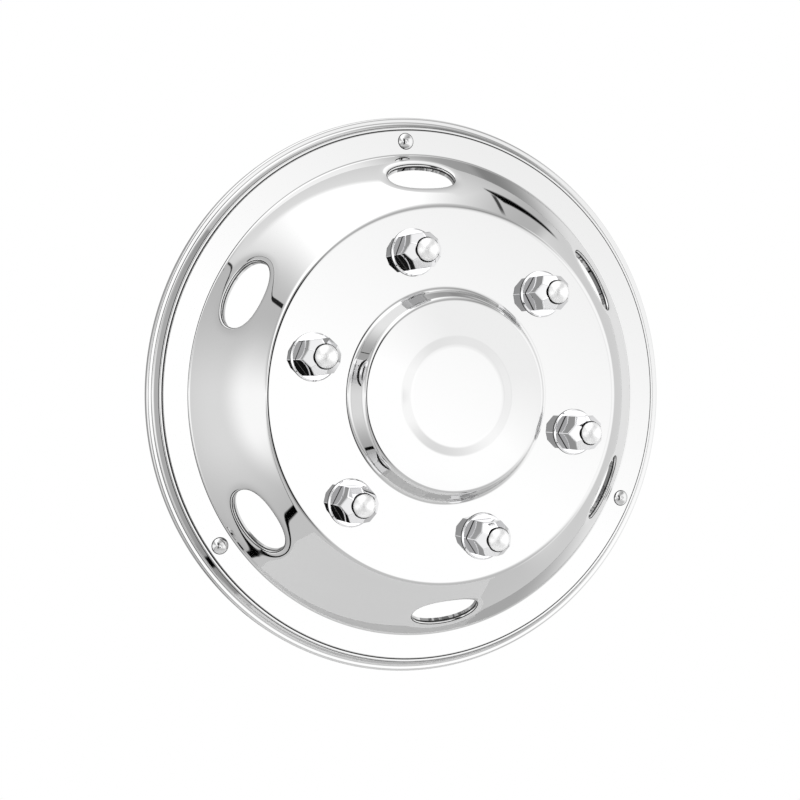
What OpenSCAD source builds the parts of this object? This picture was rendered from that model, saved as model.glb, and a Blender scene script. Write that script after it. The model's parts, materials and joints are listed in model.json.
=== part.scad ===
// Wheel cover for a six-stud commercial wheel: one pressed skin, six nut covers with their
// retainers behind the face, and three spring clips riveted behind the lip.
// The pieces are modelled lying down, with the wheel axis along Z and the front towards +Z.
// upright() then stands them up: the front faces -Y and the top is +Z.
// Heights are measured from the rear edge of the rim skirt, which rests against the wheel.

/* [Rim edge] */
// Outer diameter of the cover, at the rim skirt
rim_d = 437; // [425:0.5:460]
// Depth of the skirt that is turned back towards the wheel
skirt_h = 4.5; // [3:0.1:8]
// Width of the flat flange between the skirt and the step
flange_w = 5; // [3.5:0.1:8]
// Radial run of the step from the flange to the lip
step_run = 3.4; // [2:0.1:6]
// Height of the step from the flange to the lip
step_h = 6.4; // [4:0.1:10]

/* [Lip] */
// Width of the lip, from the step to the foot of the wall
lip_w = 22.2; // [20:0.2:26]
// Width of the low border along the lip's outer edge
lip_border_w = 1.8; // [1.4:0.1:3]
// How far that border lies below the rest of the lip
lip_border_h = 0.6; // [0.4:0.05:0.9]

/* [Wall and face] */
// Diameter of the edge between the wall and the flat face
face_d = 287.4; // [276:0.2:296]
// Height of the flat face above the lip
face_rise = 49.4; // [40:0.2:60]
// How far the wall bows out in its middle
wall_bow = 1.3; // [0.4:0.1:2.5]

/* [Hub] */
// Diameter of the hub collar where it leaves the face
hub_base_d = 160; // [140:0.5:170]
// Diameter of the hub collar at its front edge
hub_top_d = 147.6; // [130:0.2:150]
// Height of the hub's front edge above the face
hub_rise = 14; // [8:0.2:20]
// Rise of the hub's crown from its front edge to the boss
crown_rise = 2.4; // [1:0.1:5]
// Outer diameter of the raised boss in the middle of the hub
boss_d = 90; // [60:1:110]
// Width of the slope around the boss
boss_slope_w = 7.5; // [4:0.5:12]
// Height of the boss above the crown
boss_rise = 1.2; // [0.5:0.1:3]

/* [Sheet] */
// Thickness of the pressed stainless sheet
sheet_t = 1; // [0.8:0.05:1.4]
// Front radius of the bend from the flange into the skirt
skirt_bend = 2; // [1.6:0.1:3]
// Front radius of the small inner bends, at the flange and at the foot of the wall
root_bend = 2.6; // [1.5:0.1:4]
// Front radius of the bend from the face into the hub collar
hub_root_bend = 4.6; // [2:0.1:6]
// Front radius of the shoulder between the step and the lip's border
shoulder_bend = 2; // [1.4:0.1:3]
// Front radius of the bends on either side of the rise from the border to the lip
border_bend = 0.7; // [0.4:0.1:0.9]
// Front radius of the edge between the wall and the face
face_bend = 7; // [4:0.5:9]
// Front radius of the hub's front edge
hub_bend = 5; // [3:0.5:8]

/* [Hand holes] */
// Number of hand holes in the wall
hand_hole_count = 6; // [3:1:8]
// Angle of the first hand hole, from the right-hand side
hand_hole_angle = 93.4; // [60:0.1:120]
// Distance of their middle from the lip, measured up the wall
hand_hole_run = 28.4; // [26:0.2:34]
// Length of the opening along the wall's round
hand_hole_len = 54; // [36:0.5:64]
// Width of the opening up the wall
hand_hole_wid = 31; // [20:0.5:34]
// Front radius of the bend where the sheet turns in around each opening
hand_hole_bend = 2.2; // [1.8:0.1:3]
// Depth of the collar that is turned in around each opening, from the front of the sheet
collar_depth = 6; // [4:0.2:7]

/* [Nut covers] */
// Number of nut covers
nut_count = 6; // [4:1:8]
// Diameter of the stud circle
stud_circle_d = 222.25; // [205:0.25:235]
// Angle of the first nut cover, from the right-hand side
nut_angle = 45; // [0:1:60]
// Distance across the flats of the hexagon
nut_af = 26; // [25:0.2:30]
// Height of the nut cover above the face, to the tip of its dome
nut_h = 34; // [33:0.2:40]
// Height of the hexagon's corners above the face
nut_corner_h = 18.5; // [14:0.2:20]
// Diameter of the nut cover's flange
nut_flange_d = 36; // [34:0.2:40]
// Thickness of the nut cover's flange
nut_flange_t = 2.2; // [1.6:0.1:4]
// Diameter of the dome
dome_d = 17.2; // [15:0.1:18]
// Steepness of the corner facets: rise for each millimetre inwards
facet_slope = 1.38; // [1.2:0.02:1.5]
// Diameter of the blind bore that clears the wheel's stud
stud_bore_d = 20; // [16:0.1:20]
// Height of the bore's closed end above the face
stud_bore_top = 17; // [12:0.2:18]
// Wall of the barrel that passes through the face
barrel_wall = 1.8; // [1.4:0.1:2]
// Length of the barrel behind the face
barrel_len = 8; // [5:0.5:12]

/* [Retainers] */
// Outer diameter of the push-on retainer behind the face
retainer_d = 34; // [32:0.5:38]
// Thickness of the retainer
retainer_t = 0.8; // [0.6:0.1:1.2]
// How far its toothed middle is dished away from the face
retainer_dish = 2; // [1:0.1:3]
// Width of the flat rim of the retainer
retainer_rim_w = 2.4; // [1.5:0.1:3.5]
// Number of slots that part its teeth
retainer_slots = 8; // [6:1:12]
// Width of those slots
retainer_slot_w = 1.2; // [0.8:0.1:2]

/* [Clips and rivets] */
// Number of riveted spring clips
clip_count = 3; // [3:1:6]
// Angle of the first clip, from the right-hand side
clip_angle = 94.2; // [60:0.1:120]
// Distance of the rivets' middles from the lip's outer edge
rivet_inset = 11.2; // [10:0.1:13]
// Width of a clip along the rim
clip_w = 24; // [16:0.5:30]
// Thickness of the clip's spring strip
clip_t = 1; // [0.8:0.05:1.4]
// Length of the clip's foot, on each side of the rivet's middle
clip_foot = 7.6; // [6:0.2:8]
// Depth of the clip behind the lip
clip_depth = 22; // [16:0.5:28]
// How far the clip's arm leans out, to grip inside the rim
clip_lean = 8; // [5:0.5:10]
// How far the clip's tip turns back in, to lead it into the rim
clip_tip = 4.5; // [3:0.5:6]
// Outer radius of the clip's bends
clip_bend = 2.5; // [2:0.1:4]
// Diameter of the rivet's domed head
rivet_head_d = 13; // [9:0.2:14]
// Height of the rivet's domed head
rivet_head_h = 2.8; // [1.8:0.1:4]
// Diameter of the rivet's shank
rivet_shank_d = 4.8; // [4:0.1:6]
// Diameter of the rivet's set end
rivet_tail_d = 8.4; // [7:0.2:10]
// Height of the rivet's set end
rivet_tail_h = 1.8; // [1.2:0.1:3]
// Diameter of the small dimple in the middle of the head
dimple_d = 3; // [2:0.1:4]
// Depth of that dimple
dimple_depth = 0.6; // [0.3:0.05:1]

/* [Clearances] */
// Gap around a barrel or a rivet shank in its hole
hole_gap = 0.3; // [0.1:0.05:0.6]
// Gap between the retainer's teeth and the barrel
tooth_gap = 0.05; // [0.02:0.01:0.15]

/* [Hidden] */

$fn = 64;
steel = [0.86, 0.87, 0.88];
chrome = [0.80, 0.81, 0.83];
spring_steel = [0.55, 0.56, 0.58];

// Degrees of bend for each flat step of a rounded corner
bend_step = 10;
// Flat steps up the bowed wall
wall_steps = 6;
// Points around a hand hole, and steps round the bend of its collar
oval_points = 36;
collar_steps = 4;
// Fullness of the hand hole's outline, where 2 is an ellipse
oval_fullness = 2.2;
// How far a collar's edge reaches into the sheet around it, and the sheet over the collar's bend
collar_tongue = 1.2;
collar_lap = 0.8;
// How far the collars sit below the wall's true round, as the middles of its flat facets do
collar_sink = 0.1;
// How far that edge lies inside each side of the sheet, as shares of its thickness
tongue_root = 0.14;
tongue_tip = 0.35;
// Steps round a nut cover's dome and a rivet's head
dome_steps = 10;
head_steps = 8;
// How far each nut cover happens to sit turned
nut_turns = [0, 9, 8, 2, 4, 3];
// Small overlap that lets cutting solids run past what they cut
past = 1;

rim_r = rim_d / 2;
flange_z = skirt_h;
step_foot_r = rim_r - flange_w;
lip_out_r = step_foot_r - step_run;
lip_z = flange_z + step_h;
border_z = lip_z - lip_border_h;
border_in_r = lip_out_r - lip_border_w;
lip_in_r = lip_out_r - lip_w;
face_z = lip_z + face_rise;
hub_z = face_z + hub_rise;
crown_z = hub_z + crown_rise;
boss_z = crown_z + boss_rise;
boss_r = boss_d / 2;

wall_foot = [lip_in_r, lip_z];
wall_head = [face_d / 2, face_z];
wall_len = norm(wall_head - wall_foot);
wall_dir = unit2(wall_head - wall_foot);
wall_out = outward(wall_dir);
wall_tilt = atan2(wall_out[0], wall_out[1]);
hand_hole_at = wall_foot + wall_dir * hand_hole_run;

// The front of the sheet, from the rear edge of the skirt to the middle of the hub:
// radius, height and bend radius of each corner
front_corners = concat(
    [[rim_r, 0, 0],
    [rim_r, flange_z, skirt_bend],
    [step_foot_r, flange_z, root_bend],
    [lip_out_r, border_z, shoulder_bend],
    [border_in_r, border_z, border_bend],
    [border_in_r - lip_border_h, lip_z, border_bend],
    [lip_in_r, lip_z, root_bend]],
    [for (k = [1:wall_steps - 1])
        let (run = wall_len * k / wall_steps, p = wall_foot + wall_dir * run + wall_out * bow(run))
        [p[0], p[1], 0]],
    [[face_d / 2, face_z, face_bend],
    [hub_base_d / 2, face_z, hub_root_bend],
    [hub_top_d / 2, hub_z, hub_bend],
    [boss_r, crown_z, boss_r / 2],
    [boss_r - boss_slope_w, boss_z, boss_r / 2],
    [0, boss_z, 0]]);

// The section of a hand hole's collar, along its front and then along its back:
// distance outside the opening, and depth below the front of the sheet
collar_section = concat(
    [[hand_hole_bend + collar_tongue, tongue_tip * sheet_t],
    [hand_hole_bend, tongue_root * sheet_t]],
    [for (k = [1:collar_steps]) collar_arc(hand_hole_bend, 90 * k / collar_steps)],
    [[0, collar_depth], [sheet_t, collar_depth]],
    [for (k = [collar_steps:-1:1]) collar_arc(hand_hole_bend - sheet_t, 90 * k / collar_steps)],
    [[hand_hole_bend, (1 - tongue_root) * sheet_t],
    [hand_hole_bend + collar_tongue, (1 - tongue_tip) * sheet_t]]);

stud_r = stud_circle_d / 2;
corner_r = nut_af / 2 / cos(30);
barrel_r = stud_bore_d / 2 + barrel_wall;
dome_r = dome_d / 2;
// The dome's straight side ends where the facets' creases meet it
dome_side_z = nut_corner_h + (corner_r - dome_r * cos(30)) * facet_slope;
dome_cap_h = nut_h - dome_side_z;
dome_ball_r = (dome_r * dome_r + dome_cap_h * dome_cap_h) / (2 * dome_cap_h);
facet_tilt = atan(facet_slope);

face_back_z = face_z - sheet_t;
lip_back_z = lip_z - sheet_t;
rivet_r = lip_out_r - rivet_inset;
clip_back_z = lip_back_z - clip_t;

// Unit vector along v
function unit2(v) = v / norm(v);

// Vector v turned anticlockwise by an angle
function turned(v, angle) =
    [v[0] * cos(angle) - v[1] * sin(angle), v[0] * sin(angle) + v[1] * cos(angle)];

// Side of the sheet that faces out, for a run along d
function outward(d) = [d[1], -d[0]];

// How far the wall's front stands out from the straight line between its ends, at a run up it
function bow(run) = 4 * wall_bow * run * (wall_len - run) / (wall_len * wall_len);

// Height of the wall's round front over the plane that touches the line between its ends at a
// hand hole's middle, found in a few tries at u up the wall and v along its round
function wall_height(u, v, h = 0, tries = 6) =
    tries == 0 ? h :
    let (
        at = hand_hole_at + wall_dir * u + wall_out * h,
        off = [norm([at[0], v]), at[1]] - wall_foot)
    wall_height(u, v, h - off * wall_out + bow(off * wall_dir), tries - 1);

// Point of a collar's bend, of radius r about its middle, at an angle from the sheet's front
function collar_arc(r, angle) = [hand_hole_bend - r * sin(angle), hand_hole_bend - r * cos(angle)];

// Rounded corner at b between a and c, as a list of [point, outward normal]
function corner(a, b, c, bend_r) =
    let (
        d1 = unit2(b - a),
        d2 = unit2(c - b),
        angle = acos(max(-1, min(1, d1 * d2))),
        side = sign(d1[0] * d2[1] - d1[1] * d2[0]),
        room = 0.48 * min(norm(b - a), norm(c - b)),
        reach = min(bend_r * tan(angle / 2), room),
        r = reach / tan(angle / 2),
        start_normal = outward(d1),
        centre = b - d1 * reach - start_normal * r * side,
        steps = max(3, ceil(angle / bend_step)))
    [for (k = [0:steps])
        let (n = turned(start_normal, side * angle * k / steps))
        [centre + n * r * side, n]];

// Rounded run through corners given as [x, y, bend radius], where a radius of 0 is a plain point
function rounded_run(c) =
    let (p = [for (q = c) [q[0], q[1]]], last = len(c) - 1)
    concat(
        [[p[0], outward(unit2(p[1] - p[0]))]],
        [for (i = [1:last - 1])
            each c[i][2] > 0
                ? corner(p[i - 1], p[i], p[i + 1], c[i][2])
                : [[p[i], outward(unit2(p[i + 1] - p[i - 1]))]]],
        [[p[last], outward(unit2(p[last] - p[last - 1]))]]);

// Outline of a sheet of thickness t whose front follows a rounded run
function sheet_outline(run, t) =
    concat(
        [for (q = run) q[0]],
        [for (i = [len(run) - 1:-1:0]) run[i][0] - run[i][1] * t]);

// Oval outline with its length along Y, its points turned on by a share of their step
function oval(length, width, share = 0) =
    [for (k = [0:oval_points - 1])
        let (a = 360 * (k + share) / oval_points, c = cos(a), s = sin(a), e = 2 / oval_fullness)
        [width / 2 * sign(c) * pow(abs(c), e), length / 2 * sign(s) * pow(abs(s), e)]];

// Stands a piece up, with the origin on the wheel axis in the rear plane of the flat face
module upright() {
    rotate([90, 0, 0])
        translate([0, 0, -face_back_z])
            children();
}

// Places children around the wheel axis at radius r
module around(count, first_angle, r) {
    for (i = [0:count - 1])
        rotate([0, 0, first_angle + 360 * i / count])
            translate([r, 0, 0])
                children();
}

// Oval bars through the wall, square to it, one for each hand hole
module hand_hole_bars(grow) {
    around(hand_hole_count, hand_hole_angle, hand_hole_at[0])
        translate([0, 0, hand_hole_at[1]])
            rotate([0, wall_tilt, 0])
                translate([0, 0, -3 * collar_depth])
                    linear_extrude(6 * collar_depth)
                        polygon(oval(hand_hole_len + 2 * grow, hand_hole_wid + 2 * grow, 1 / 2));
}

// Collar around a hand hole: the sheet bends in from the wall's round front and runs on inwards
module hand_hole_collar() {
    rings = [for (q = collar_section)
        [for (p = oval(hand_hole_len + 2 * q[0], hand_hole_wid + 2 * q[0]))
            [-p[0], p[1], wall_height(p[0], p[1]) - collar_sink - q[1]]]];
    count = len(collar_section);
    polyhedron(
        points = [for (ring = rings) each ring],
        faces = [for (i = [0:count - 1], k = [0:oval_points - 1])
            let (next_i = (i + 1) % count, next_k = (k + 1) % oval_points)
            [i * oval_points + k, i * oval_points + next_k,
                next_i * oval_points + next_k, next_i * oval_points + k]]);
}

// Pressed skin: skirt, flange, lip, wall, face and hub, with all its holes
module cover_shell() {
    color(steel)
    upright()
    union() {
        difference() {
            rotate_extrude()
                polygon(sheet_outline(rounded_run(front_corners), sheet_t));
            hand_hole_bars(hand_hole_bend - collar_lap);
            around(nut_count, nut_angle, stud_r)
                translate([0, 0, face_back_z - past])
                    cylinder(r = barrel_r + hole_gap, h = sheet_t + 2 * past);
            around(clip_count, clip_angle, rivet_r)
                translate([0, 0, lip_back_z - past])
                    cylinder(r = rivet_shank_d / 2 + hole_gap, h = sheet_t + 2 * past);
        }
        around(hand_hole_count, hand_hole_angle, hand_hole_at[0])
            translate([0, 0, hand_hole_at[1]])
                rotate([0, wall_tilt, 0])
                    hand_hole_collar();
    }
}

// Hexagon with its corners cut by six sloping facets
module hexagon_body() {
    facet_size = 2 * nut_af;
    difference() {
        cylinder(r = corner_r, h = dome_side_z, $fn = 6);
        for (k = [0:5])
            rotate([0, 0, 60 * k])
                translate([corner_r, 0, nut_corner_h])
                    rotate([0, facet_tilt, 0])
                        translate([-facet_size / 2, -facet_size / 2, 0])
                            cube(facet_size);
    }
}

// Dome: a short straight side with a round cap
module nut_dome() {
    cap_angle = asin(min(1, dome_r / dome_ball_r));
    rotate_extrude()
        polygon(concat(
            [[0, nut_corner_h], [dome_r, nut_corner_h]],
            [for (k = [0:dome_steps])
                let (a = cap_angle * (1 - k / dome_steps))
                [dome_ball_r * sin(a), nut_h - dome_ball_r * (1 - cos(a))]]));
}

// Flange with a bevelled edge, and the barrel that passes through the face
module nut_flange_and_barrel() {
    flange_r = nut_flange_d / 2;
    bevel = nut_flange_t / 2;
    rotate_extrude()
        polygon([
            [0, 0],
            [0, nut_flange_t],
            [flange_r - bevel, nut_flange_t],
            [flange_r, nut_flange_t - bevel],
            [flange_r, 0],
            [barrel_r, 0],
            [barrel_r, -sheet_t - barrel_len],
            [0, -sheet_t - barrel_len]]);
}

// Nut cover number i, seated on the face
module nut_cover(i) {
    angle = nut_angle + 360 * (i - 1) / nut_count;
    color(chrome)
    upright()
    rotate([0, 0, angle])
        translate([stud_r, 0, face_z])
            rotate([0, 0, nut_turns[(i - 1) % len(nut_turns)] - angle])
                difference() {
                    union() {
                        hexagon_body();
                        nut_dome();
                        nut_flange_and_barrel();
                    }
                    translate([0, 0, -sheet_t - barrel_len - past])
                        cylinder(d = stud_bore_d, h = sheet_t + barrel_len + past + stud_bore_top);
                }
}

// Push-on retainer number i: a flat rim against the face's back and a dished ring of teeth
module nut_retainer(i) {
    outer_r = retainer_d / 2;
    rim_in_r = outer_r - retainer_rim_w;
    inner_r = barrel_r + tooth_gap;
    slot_r = (inner_r + rim_in_r) / 2;
    color(spring_steel)
    upright()
    rotate([0, 0, nut_angle + 360 * (i - 1) / nut_count])
        translate([stud_r, 0, face_back_z])
            difference() {
                rotate_extrude()
                    polygon([
                        [outer_r, 0],
                        [rim_in_r, 0],
                        [inner_r, -retainer_dish],
                        [inner_r, -retainer_dish - retainer_t],
                        [rim_in_r, -retainer_t],
                        [outer_r, -retainer_t]]);
                for (k = [0:retainer_slots - 1])
                    rotate([0, 0, 360 * k / retainer_slots])
                        translate([0, -retainer_slot_w / 2, -retainer_dish - retainer_t - past])
                            cube([slot_r, retainer_slot_w, retainer_dish + retainer_t + past]);
            }
}

// Spring clip number i: a foot under the lip, an arm that grips inside the rim, and a lead-in tip
module rim_clip(i) {
    foot_in_r = rivet_r - clip_foot;
    arm_z = lip_back_z - clip_depth + clip_tip;
    clip_corners = [
        [rivet_r + clip_foot, lip_back_z, 0],
        [foot_in_r, lip_back_z, clip_bend],
        [foot_in_r + clip_lean, arm_z, clip_bend],
        [foot_in_r + clip_lean - clip_tip, lip_back_z - clip_depth, 0]];
    color(spring_steel)
    upright()
    rotate([0, 0, clip_angle + 360 * (i - 1) / clip_count])
        difference() {
            rotate([90, 0, 0])
                translate([0, 0, -clip_w / 2])
                    linear_extrude(clip_w)
                        polygon(sheet_outline(rounded_run(clip_corners), clip_t));
            translate([rivet_r, 0, clip_back_z - past])
                cylinder(r = rivet_shank_d / 2 + hole_gap, h = clip_t + 2 * past);
        }
}

// Rivet number i: a domed head with a small centre dimple, its shank and its set end
module clip_rivet(i) {
    head_r = rivet_head_d / 2;
    tail_r = rivet_tail_d / 2;
    shank_r = rivet_shank_d / 2;
    ball_r = (head_r * head_r + rivet_head_h * rivet_head_h) / (2 * rivet_head_h);
    head_angle = asin(min(1, head_r / ball_r));
    color(chrome)
    upright()
    rotate([0, 0, clip_angle + 360 * (i - 1) / clip_count])
        translate([rivet_r, 0, 0])
            difference() {
                rotate_extrude()
                    polygon(concat(
                        [[0, clip_back_z - rivet_tail_h],
                        [tail_r - rivet_tail_h / 2, clip_back_z - rivet_tail_h],
                        [tail_r, clip_back_z - rivet_tail_h / 2],
                        [tail_r, clip_back_z],
                        [shank_r, clip_back_z],
                        [shank_r, lip_z]],
                        [for (k = [0:head_steps])
                            let (a = head_angle * (1 - k / head_steps))
                            [ball_r * sin(a), lip_z + rivet_head_h - ball_r * (1 - cos(a))]]));
                translate([0, 0, lip_z + rivet_head_h - dimple_depth])
                    cylinder(d1 = dimple_d / 2, d2 = dimple_d, h = dimple_depth + past);
            }
}

cover_shell();
for (i = [1:nut_count])
    nut_cover(i);
for (i = [1:nut_count])
    nut_retainer(i);
for (i = [1:clip_count])
    rim_clip(i);
for (i = [1:clip_count])
    clip_rivet(i);
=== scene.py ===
"""Wheel cover: a mirror-polished pressed skin, nut covers, rivets and clips, in a pale studio.

Shapes are worked out in the wheel's own frame, in millimetres: x to the right, y up, and z forwards
along the wheel axis from the skirt's rear edge. placed() turns them into metres in the row frame.
"""
import json
import math

import bpy
import numpy as np
from mathutils import Matrix, Vector


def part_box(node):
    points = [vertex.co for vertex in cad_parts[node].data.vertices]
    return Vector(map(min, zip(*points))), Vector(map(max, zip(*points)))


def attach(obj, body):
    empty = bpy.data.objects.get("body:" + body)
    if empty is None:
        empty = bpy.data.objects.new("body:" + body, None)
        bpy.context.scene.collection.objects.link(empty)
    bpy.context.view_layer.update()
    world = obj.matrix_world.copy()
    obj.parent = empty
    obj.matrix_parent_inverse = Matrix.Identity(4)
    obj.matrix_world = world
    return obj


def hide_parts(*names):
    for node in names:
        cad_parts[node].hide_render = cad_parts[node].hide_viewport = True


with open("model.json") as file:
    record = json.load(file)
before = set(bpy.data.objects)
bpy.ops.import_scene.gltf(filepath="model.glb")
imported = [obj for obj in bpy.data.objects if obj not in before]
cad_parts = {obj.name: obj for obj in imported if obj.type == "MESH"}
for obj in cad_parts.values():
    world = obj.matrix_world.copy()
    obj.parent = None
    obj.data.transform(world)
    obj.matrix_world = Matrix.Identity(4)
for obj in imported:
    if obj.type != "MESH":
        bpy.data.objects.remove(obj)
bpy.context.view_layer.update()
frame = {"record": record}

MM = 0.001
mounts = {mount["name"]: mount for mount in frame["record"]["mounts"]}
shell_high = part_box("cover_shell")[1]

# Rim, lip, wall, face and hub of the pressed skin
RIM_R = shell_high.x / MM
SEAT_Y = mounts["rim_seat"]["pos_m"][1]
SHEET_T = 1.0
FLANGE_Z = 4.5
STEP_FOOT_R = RIM_R - 5.0
LIP_OUT_R = STEP_FOOT_R - 3.4
LIP_Z = FLANGE_Z + 6.4
BORDER_W = 1.8
BORDER_H = 0.6
BORDER_SLOPE_W = 1.2
LIP_IN_R = LIP_OUT_R - 22.2
WALL_BOW = 1.3
FACE_R = 143.7
FACE_Z = SEAT_Y / MM + SHEET_T
HUB_FOOT_R = 80.0
HUB_TOP_R = 73.8
HUB_Z = FACE_Z + 14.0
CROWN_Z = HUB_Z + 2.4
BOSS_R = 45.0
BOSS_SLOPE_W = 7.5
BOSS_Z = CROWN_Z + 1.2

# Bends of the sheet, as radii on its front
SKIRT_BEND = 2.0
ROOT_BEND = 2.6
SHOULDER_BEND = 2.0
BORDER_BEND = 1.2
FACE_BEND = 7.0
HUB_ROOT_BEND = 4.6
HUB_BEND = 5.0
BOSS_BEND = 22.0

# Hand holes in the wall
HOLE_COUNT = 6
HOLE_ANGLE = 93.4
HOLE_RUN = 28.4
HOLE_LEN = 54.0
HOLE_WID = 31.0
HOLE_FULLNESS = 2.2
HOLE_BEND = 2.2
HOLE_DEPTH = 6.0
HOLE_DIP = 0.55
HOLE_DIP_W = 8.0

# Nut covers on the stud circle
NUT_COUNT = mounts["stud_circle"]["dims"]["count"]
STUD_R = mounts["stud_circle"]["dims"]["pcd_mm"] / 2
NUT_ANGLE = 45.0
NUT_AF = 26.0
NUT_H = 34.0
NUT_CORNER_H = 18.5
NUT_FLANGE_R = 18.0
NUT_FLANGE_T = 2.2
DOME_R = 8.6
FACET_SLOPE = 1.38
BORE_R = mounts["stud_circle"]["dims"]["hole_r_mm"]
BORE_TOP = 17.0
BARREL_R = BORE_R + 1.8
BARREL_LEN = 8.0
HOLE_GAP = 0.3
NUT_TURNS = (0.0, 9.0, 8.0, 2.0, 4.0, 3.0)

# Rivets that hold the spring clips
RIVET_COUNT = mounts["rim_clips"]["dims"]["count"]
RIVET_ANGLE = 94.2
RIVET_R = LIP_OUT_R - 11.2
RIVET_SHANK_R = 2.4
RIVET_HEAD_R = 6.5
RIVET_HEAD_H = 2.8
RIVET_TAIL_R = 4.2
RIVET_TAIL_H = 1.8
DIMPLE_R = 1.5
DIMPLE_DEPTH = 0.6
CLIP_BACK_Z = LIP_Z - SHEET_T - 1.0

# Crease round the foot of a nut cover's dome, painted dark inside as painted shade, and the height
# of a painted dark line round the foot of its hexagon, a painted dark reflection
CREASE_W = 0.8
CREASE_DEPTH = 0.8
FOOT_LINE_H = 1.2

# Metals, as the share of light that they reflect
STEEL_COLOUR = (0.70, 0.70, 0.70)
CHROME_COLOUR = (0.90, 0.90, 0.91)
# The dome's colour is a lighter copy of the nut-cover chrome, a painted highlight
DOME_HIGHLIGHT_COLOUR = (0.97, 0.97, 0.97)
# Near-black, painted on bends, creases and edges as painted shade and painted dark reflections
PAINTED_DARK_COLOUR = (0.04, 0.04, 0.04)

# Light tent and floor, in degrees, metres and brightness
TENT_AZIMUTH = -26.0
FRONT_TONE = 0.58
DARK_TONE = 0.08
TONE_POWER = 2.2
FLOOR_R = 0.42
FLOOR_Z = -0.62
FLOOR_COLOUR = (0.7, 0.7, 0.7, 1)
FLOOR_SEEN = (0.97, 0.97, 0.97, 1)

# Points around each whole turn of the skin and of small turned pieces, degrees for each step round
# a bend, and how softly a nut cover's edges are rounded
TURN = 264
SMALL_TURN = 72
RIVET_TURN = 48
BEND_STEP = 7.0
SMALL_BEND_STEP = 15.0
CAP_STEPS = 14
EDGE_SOFTNESS = 0.16

# Steps along the sides of a band's sectors, and from a sector's border to its hole
LIP_SECTORS = 24
LIP_STEPS = (5, 4)
WALL_STEPS = (15, 8)
FACE_STEPS = (12, 5)

# Steps of a hand hole's dip and of its bend, which of the bend's are painted dark as painted
# dark reflections, and how much of the straight collar after it
DIP_STEPS = 5
HOLE_BEND_STEPS = 8
HOLE_LINES = (3, 4, 8)
COLLAR_LINE = 0.25

# Rounds of the searches for a point on a curve or a softened solid
CURVE_ROUNDS = 8
SOFTENING_ROUNDS = 4


def placed(points):
    """Wheel-frame points in millimetres as metres in the row frame."""
    p = np.asarray(points, float)
    return np.stack([p[..., 0] * MM, SEAT_Y - p[..., 2] * MM, p[..., 1] * MM], -1)


def facing(normals):
    """Wheel-frame normals as unit normals in the row frame."""
    n = np.asarray(normals, float)
    n = np.stack([n[..., 0], -n[..., 2], n[..., 1]], -1)
    return n / np.linalg.norm(n, axis=-1, keepdims=True)


def unit(v):
    return np.asarray(v, float) / np.linalg.norm(v)


def outward(d):
    """Side of the sheet that faces out, for a run along d in the (radius, height) plane."""
    return np.array([d[1], -d[0]])


def bend(a, b, c, radius, step=BEND_STEP):
    """Rounded corner at b between a and c, as rows of radius, height and outward normal."""
    a, b, c = (np.asarray(p, float) for p in (a, b, c))
    d1, d2 = unit(b - a), unit(c - b)
    angle = math.acos(max(-1.0, min(1.0, float(d1 @ d2))))
    side = math.copysign(1.0, d1[0] * d2[1] - d1[1] * d2[0])
    room = 0.48 * min(np.linalg.norm(b - a), np.linalg.norm(c - b))
    reach = min(radius * math.tan(angle / 2), room)
    radius = reach / math.tan(angle / 2)
    centre = b - d1 * reach - outward(d1) * radius * side
    count = max(4, math.ceil(math.degrees(angle) / step))
    rows = []
    for k in range(count + 1):
        turn = side * angle * k / count
        n = outward(d1)
        n = np.array([n[0] * math.cos(turn) - n[1] * math.sin(turn),
                      n[0] * math.sin(turn) + n[1] * math.cos(turn)])
        rows.append([*(centre + n * radius * side), *n])
    return rows


class Skin:
    """Points with their outward normals, the faces between them, and which of those are shaded,
    that is painted dark as painted shade and dark reflections, or given a painted highlight.
    """

    def __init__(self):
        self.points = []
        self.normals = []
        self.faces = []
        self.shaded = {}

    def shade_from(self, first, material=1):
        """Gives another of its materials to the faces added since a count of them was taken."""
        self.shade_strip(first, len(self.faces) - first, material)

    def shade_strip(self, first, count, material=1):
        """Gives another of its materials to so many faces."""
        self.shaded.update(dict.fromkeys(range(first, first + count), material))

    def add(self, points, normals):
        """Adds rows of points and returns their numbers."""
        first = len(self.points)
        self.points.extend(np.asarray(points, float).reshape(-1, 3).tolist())
        self.normals.extend(np.asarray(normals, float).reshape(-1, 3).tolist())
        return list(range(first, len(self.points)))

    def ring(self, row, phase):
        """A whole turn at one row of the profile, with its first point at the angle phase."""
        angles = np.radians(phase + 360 * np.arange(TURN) / TURN)
        return {"phase": phase, "points": self.add(*turned_row(row, angles))}

    def join(self, outer, inner):
        """Faces between two rings, of which the second is nearer the wheel's middle."""
        shift = round((inner["phase"] - outer["phase"]) * TURN / 360)
        a, b = outer["points"], inner["points"]
        a = [a[(i + shift) % TURN] for i in range(TURN)]
        self.strip(a, b)

    def patch(self, a, b):
        """Faces between two open rows of as many points."""
        for i in range(len(a) - 1):
            self.faces.append((a[i], a[i + 1], b[i + 1], b[i]))

    def strip(self, a, b):
        """Faces between two closed loops of as many points."""
        count = len(a)
        for i in range(count):
            self.faces.append((a[i], a[(i + 1) % count], b[(i + 1) % count], b[i]))


def turned_row(row, angles):
    """Points and normals of one profile row, radius, height and normal, at several angles."""
    r, z, nr, nz = row
    c, s = np.cos(angles), np.sin(angles)
    ones = np.ones_like(c)
    return np.stack([r * c, r * s, z * ones], -1), np.stack([nr * c, nr * s, nz * ones], -1)


def straight_band(start, end):
    """A band between two profile rows: its row at a share of the way, and a point's share."""
    start, end = np.asarray(start), np.asarray(end)
    span = end[:2] - start[:2]

    def row_at(share):
        return [*(start[:2] + span * share), *start[2:]]

    def share_of(points):
        offset = np.stack([np.hypot(points[:, 0], points[:, 1]), points[:, 2]], -1) - start[:2]
        return offset @ span / (span @ span)

    return row_at, share_of


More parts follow.
